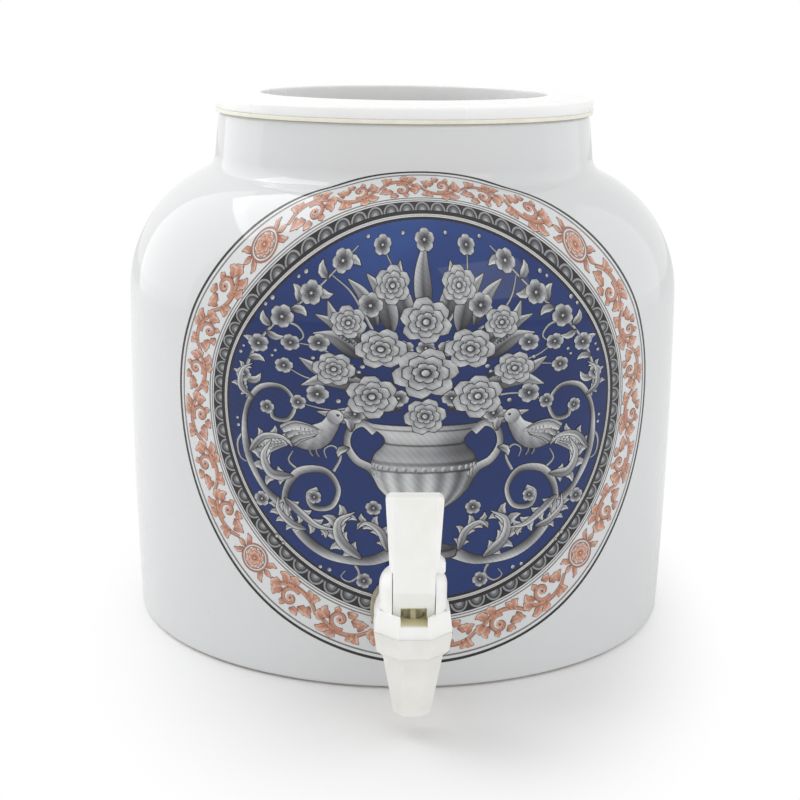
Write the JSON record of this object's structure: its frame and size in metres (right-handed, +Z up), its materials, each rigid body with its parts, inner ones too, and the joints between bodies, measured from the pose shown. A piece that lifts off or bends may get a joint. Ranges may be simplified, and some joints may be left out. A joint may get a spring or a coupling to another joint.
{
  "type": "water dispenser",
  "caption": "Glazed ceramic water crock with a short neck, a plastic ring that seats an upturned bottle, and a plastic lever tap low on the front.",
  "frame": {"origin": "centre of the crock's flat foot", "axes": "+Z up along the crock's axis, -Y towards the user through the tap, +X to the user's right"},
  "size_m": [0.2654, 0.323, 0.251],
  "materials": {
    "glazed_porcelain": "white porcelain under a clear glossy glaze, with a printed medallion on the front",
    "ring_plastic": "glossy white moulded plastic",
    "cream_gasket_rubber": "soft cream rubber",
    "tan_washer_rubber": "matte tan-grey rubber",
    "white_plastic": "satin warm-white moulded plastic",
    "stem_plastic": "natural cream moulded plastic",
    "stainless_steel": "drawn stainless steel wire",
    "silicone": "cloudy food-grade silicone"
  },
  "bodies": {
    "crock": {"crock": "glazed_porcelain", "tap_body": "white_plastic", "bonnet": "white_plastic", "outer_washer": "tan_washer_rubber", "inner_washer": "tan_washer_rubber", "lock_nut": "white_plastic", "seat_cup": "silicone", "valve_spring": "stainless_steel"},
    "ring": {"support_ring": "ring_plastic", "ring_gasket": "cream_gasket_rubber"},
    "stem": {"stem": "stem_plastic", "hinge_pin": "stainless_steel"},
    "lever": {"lever": "white_plastic"}
  },
  "joints": [
    {"name": "ring_lift", "type": "slide", "parent": "crock", "child": "ring", "axis": [0, 0, 1], "range_m": [0, 0.04]},
    {"name": "stem_lift", "type": "slide", "parent": "crock", "child": "stem", "axis": [0, 0, 1], "range_m": [0, 0.0024], "stiffness_N_per_m": 400, "springref_m": -0.003, "deforming": ["valve_spring", "seat_cup"]},
    {"name": "lever_tilt", "type": "hinge", "parent": "stem", "child": "lever", "pos_m": [0, -0.1745, 0.0588], "axis": [1, 0, 0], "range_deg": [0, 45]}
  ],
  "couplings": [
    {"joint": "lever_tilt", "follows": "stem_lift", "rad_per_m": 327.25}
  ]
}
